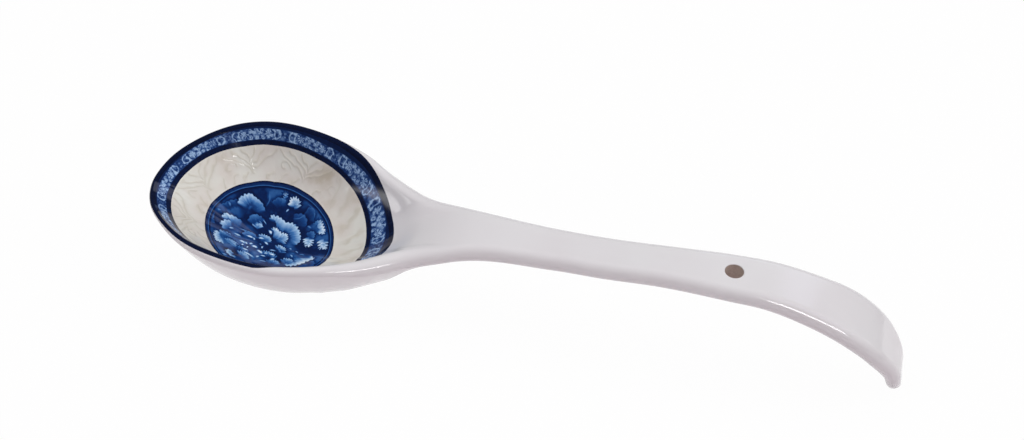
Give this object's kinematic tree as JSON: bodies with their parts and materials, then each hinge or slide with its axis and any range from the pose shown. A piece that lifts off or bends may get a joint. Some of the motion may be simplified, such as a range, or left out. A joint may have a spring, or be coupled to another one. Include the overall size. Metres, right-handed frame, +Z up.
{
  "type": "porcelain soup spoon",
  "caption": "Long-handled porcelain soup spoon: deep egg-shaped bowl with a blue flower medallion, pale relief ring and blue border, arched handle with a hanging hole and hooked end.",
  "frame": {"origin": "middle of the bowl's ground base, on the table the spoon lies on", "axes": "+X from the bowl along the handle to the hooked end, +Y across the spoon, +Z up from the table; the spoon is symmetric about the XZ plane"},
  "size_m": [0.2237, 0.0612, 0.033],
  "materials": {
    "porcelain": "gloss",
    "medallion_print": "gloss",
    "relief_band": "gloss",
    "border_print": "gloss",
    "edge_line": "gloss"
  },
  "bodies": {
    "root": {"bowl": "porcelain", "handle": "porcelain", "medallion": "medallion_print", "relief_band": "relief_band", "border_band": "border_print", "edge_line": "edge_line"}
  },
  "joints": []
}
